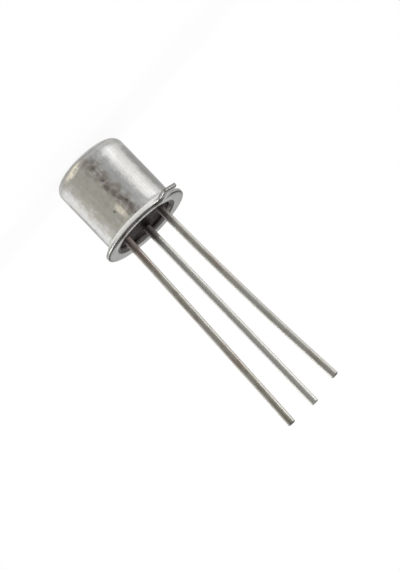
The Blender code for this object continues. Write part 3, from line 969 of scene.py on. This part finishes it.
def tinned_wire(name, seed, place, tarnish, highlight_start, end_dirt, root_shade):
    """A lead's plated wire: drawn lines, tarnish, stains, painted highlight lines, painted shade at the
    root and a dirty end.
    """
    made, tree = new_look(name)
    patch = span(tree, wire_cloud(tree, WIRE_PATCHES, seed), *WIRE_PATCH_RANGE)
    specks = span(tree, wire_cloud(tree, WIRE_SPECKS, seed + 1), *WIRE_SPECK_RANGE)
    drawn = wire_cloud(tree, WIRE_DRAWN, seed + 2)
    wander = span(tree, wire_cloud(tree, WIRE_WANDER, seed + 3), *CLOUD_RANGE, *HIGHLIGHT_WANDER)
    stains = span(tree, wire_cloud(tree, WIRE_STAINS, seed + 4), *WIRE_STAIN_RANGE)
    height = axes(tree, places(tree))[2]
    facing = node(tree, "ShaderNodeTexCoord").outputs["Normal"]
    highlight_range = (-highlight_start - HIGHLIGHT_FADE, -highlight_start)

    colour = tint(tree, patch, tarnish, WIRE, WIRE_TARNISH)
    colour = tint(tree, specks, SPECK_STRENGTH, colour, WIRE_TARNISH)
    colour = tint(tree, stains, tarnish, colour, WIRE_BROWN)
    colour = paint_highlight_lines(tree, colour, place, fall(tree, height, *highlight_range), facing, wander)
    # painted shade at the root, next to the glass
    root = span(tree, height, -ROOT_SHADE_END, 0.0)
    colour = tint(tree, root, ROOT_SHADE_STRENGTH, colour, tuple(root_shade * part for part in WIRE_ROOT_SHADE))
    end = fall(tree, axes(tree, facing)[2], *END_FACING)
    colour = tint(tree, end, end_dirt, colour, WIRE_END)
    roughness = span(tree, math(tree, "ADD", patch, drawn), *WIRE_ROUGHNESS)
    dulled = span(tree, height, *highlight_range, 0.0, ROOT_ROUGHNESS)
    finish(colour, math(tree, "ADD", roughness, dulled), drawn, *WIRE_BUMP)
    return made


# Pieces inside the can: the two colours that the grain runs between, metallic and lowest roughness
SILICON = ((0.14, 0.15, 0.18), (0.2, 0.21, 0.25), 0.3, 0.12)
GOLD_SOLDER = ((0.8, 0.58, 0.24), (0.7, 0.5, 0.22), 1.0, 0.3)
ALUMINIUM = ((0.8, 0.8, 0.8), (0.7, 0.7, 0.7), 1.0, 0.25)

# Their grain: cycles a millimetre, detail, roughness and seed, how much rougher it makes them at most,
# and the strength of its relief and its depth in metres
INNER_GRAIN = (20, 4, 0.6, 0.0)
INNER_ROUGHER = 0.12
INNER_BUMP = (0.2, 1e-6)


def inner_look(name, first, second, metallic, rough):
    """A finish with a fine grain, for the pieces inside the can."""
    made, tree = new_look(name)
    grain = cloud(tree, places(tree), *INNER_GRAIN)
    colour = blend(tree, span(tree, grain, *CLOUD_RANGE), first, second)
    roughness = span(tree, grain, *CLOUD_RANGE, rough, rough + INNER_ROUGHER)
    finish(colour, roughness, grain, *INNER_BUMP, metallic=metallic)
    return made


# Stage

# Floor: half its width, its colour under light, and how much of that gives way to plain white
FLOOR_SIZE = 1.6
FLOOR_COLOUR = (0.9, 0.9, 0.9, 1)
FLOOR_GLOW = 0.9
WHITE = (1, 1, 1, 1)


def floor_look():
    """A pale floor: white to the eye and in reflections, with a part of its real shading kept."""
    made, tree = new_look("floor")
    tree.nodes.clear()
    path = node(tree, "ShaderNodeLightPath")
    seen = math(tree, "MAXIMUM", path.outputs["Is Camera Ray"], path.outputs["Is Glossy Ray"])
    seen = math(tree, "MAXIMUM", seen, path.outputs["Is Transmission Ray"])
    diffuse = node(tree, "ShaderNodeBsdfDiffuse", {"Color": FLOOR_COLOUR})
    glow = node(tree, "ShaderNodeEmission", {"Color": WHITE, "Strength": 1.0})
    share = times(tree, seen, FLOOR_GLOW)
    mixed = node(tree, "ShaderNodeMixShader", {0: share, 1: diffuse.outputs[0], 2: glow.outputs[0]})
    node(tree, "ShaderNodeOutputMaterial", {"Surface": mixed.outputs[0]})
    return made


def floor():
    """The floor that the transistor stands on."""
    form = bmesh.new()
    bmesh.ops.create_grid(form, x_segments=1, y_segments=1, size=FLOOR_SIZE)
    mesh = bpy.data.meshes.new("floor")
    form.to_mesh(mesh)
    form.free()
    mesh.materials.append(floor_look())
    made = bpy.data.objects.new("floor", mesh)
    bpy.context.scene.collection.objects.link(made)


# World: its brightness at the horizon in front of the transistor, behind it and straight up, where
# it turns from front to back, and how sharply the horizon fades upward
SKY_FRONT = 0.16
SKY_BACK = 0.9
SKY_TOP = 0.4
SKY_TURN = (-0.5, 0.75)
SKY_RISE = 2.2


def world():
    """A plain studio sky: bright behind the transistor, dimmer overhead and dimmest in front."""
    made = bpy.data.worlds.new("studio")
    bpy.context.scene.world = made
    made.use_nodes = True
    tree = made.node_tree
    _, back, up = axes(tree, node(tree, "ShaderNodeTexCoord").outputs["Generated"])
    horizon = span(tree, back, *SKY_TURN, SKY_FRONT, SKY_BACK)
    low = math(tree, "SUBTRACT", 1.0, math(tree, "MAXIMUM", up, 0.0))
    share = math(tree, "POWER", low, SKY_RISE)
    extra = times(tree, share, math(tree, "SUBTRACT", horizon, SKY_TOP))
    background = tree.nodes["Background"]
    background.inputs["Color"].default_value = WHITE
    tree.links.new(math(tree, "ADD", extra, SKY_TOP), background.inputs["Strength"])


# Lamps: how far off they are, and of each its direction from the transistor, as a turn to the right of
# the front and a rise, its angular width and height, and its radiance
LAMP_DISTANCE = 0.8
SIDE_LAMP = (-77, 15, 14, 29, 23.0)
BACK_SIDE_LAMP = (113, 15, 14, 29, 22.0)
TOP_LAMP = (180, 62, 40, 34, 2.2)


def softbox(name, turn, rise, width, height, radiance):
    """A rectangular lamp that faces the transistor from far off, as wide and high as the angles say."""
    lamp = bpy.data.lights.new(name, "AREA")
    lamp.shape = "RECTANGLE"
    lamp.size = 2 * LAMP_DISTANCE * tan(radians(width / 2))
    lamp.size_y = 2 * LAMP_DISTANCE * tan(radians(height / 2))
    lamp.energy = radiance * pi * lamp.size * lamp.size_y
    made = bpy.data.objects.new(name, lamp)
    bpy.context.scene.collection.objects.link(made)
    level = cos(radians(rise))
    way = Vector((sin(radians(turn)) * level, -cos(radians(turn)) * level, sin(radians(rise))))
    made.location = way * LAMP_DISTANCE
    made.rotation_euler = way.to_track_quat("Z", "Y").to_euler()


def camera():
    """The camera at the photograph's angle: toward the can's underside from the side with no lead."""
    side, down, up = (CAN_FRAME.to_3x3() @ Vector(v) for v in ((1, 0, 0), (0, 0, -1), (0, -1, 0)))
    tilt, slope = radians(VIEW_TILT), radians(AXIS_SLOPE)
    toward = down * sin(tilt) + up * cos(tilt)
    axis = down * cos(tilt) - up * sin(tilt)
    picture_right = axis * cos(slope) + side * sin(slope)
    picture_up = side * cos(slope) - axis * sin(slope)
    aim = CAN_FRAME.translation + picture_right * AIM_RIGHT + picture_up * AIM_UP
    lens = bpy.data.cameras.new("camera")
    lens.lens = LENS
    lens.sensor_width = SENSOR
    made = bpy.data.objects.new("camera", lens)
    bpy.context.scene.collection.objects.link(made)
    turn = Matrix((picture_right, picture_up, toward)).transposed()
    made.matrix_world = Matrix.Translation(aim + toward * CAMERA_DISTANCE) @ turn.to_4x4()
    bpy.context.scene.camera = made


# The whole scene


def dress(piece, cad_node, look):
    """Gives a fine piece its finish and puts it in place of its solid."""
    piece.data.materials.clear()
    piece.data.materials.append(look)
    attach(piece, "root")
    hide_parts(cad_node)


def repaint(cad_node, look):
    """Gives a solid that stays a finer finish."""
    slots = frame["nodes"][cad_node].data.materials
    slots.clear()
    slots.append(look)


def leads():
    """Makes and finishes the three leads."""
    wires = (
        ("emitter", EMITTER_PLACE, EMITTER_SPLAY, EMITTER_REACH, POST_TOP, EMITTER_WEAR_AND_LIGHT),
        ("base_one", BASE_ONE_PLACE, BASE_ONE_SPLAY, BASE_ONE_REACH, POST_TOP, BASE_ONE_WEAR_AND_LIGHT),
        ("base_two", BASE_TWO_PLACE, BASE_TWO_SPLAY, BASE_TWO_REACH, BASE_TWO_TOP, BASE_TWO_WEAR_AND_LIGHT),
    )
    for count, (name, place, splay, reach, top, wear_and_light) in enumerate(wires):
        piece = lead(name + "_wire", place, splay, reach, top)
        look = tinned_wire(name + "_tin", SEED_STEP * count, place, *wear_and_light)
        dress(piece, name + "_lead", look)


def main():
    dress(cap(), "cap", nickel_plate())
    dress(header(), "header", header_plate())
    dress(glass_seal(), "glass_seal", seal_glass())
    leads()
    repaint("silicon_die", inner_look("silicon", *SILICON))
    repaint("die_solder", inner_look("gold_solder", *GOLD_SOLDER))
    bonds = inner_look("aluminium", *ALUMINIUM)
    repaint("emitter_bond_wire", bonds)
    repaint("base_one_bond_wire", bonds)
    world()
    floor()
    softbox("side_lamp", *SIDE_LAMP)
    softbox("back_side_lamp", *BACK_SIDE_LAMP)
    softbox("top_lamp", *TOP_LAMP)
    camera()
    bpy.context.scene.view_settings.view_transform = "Standard"


main()
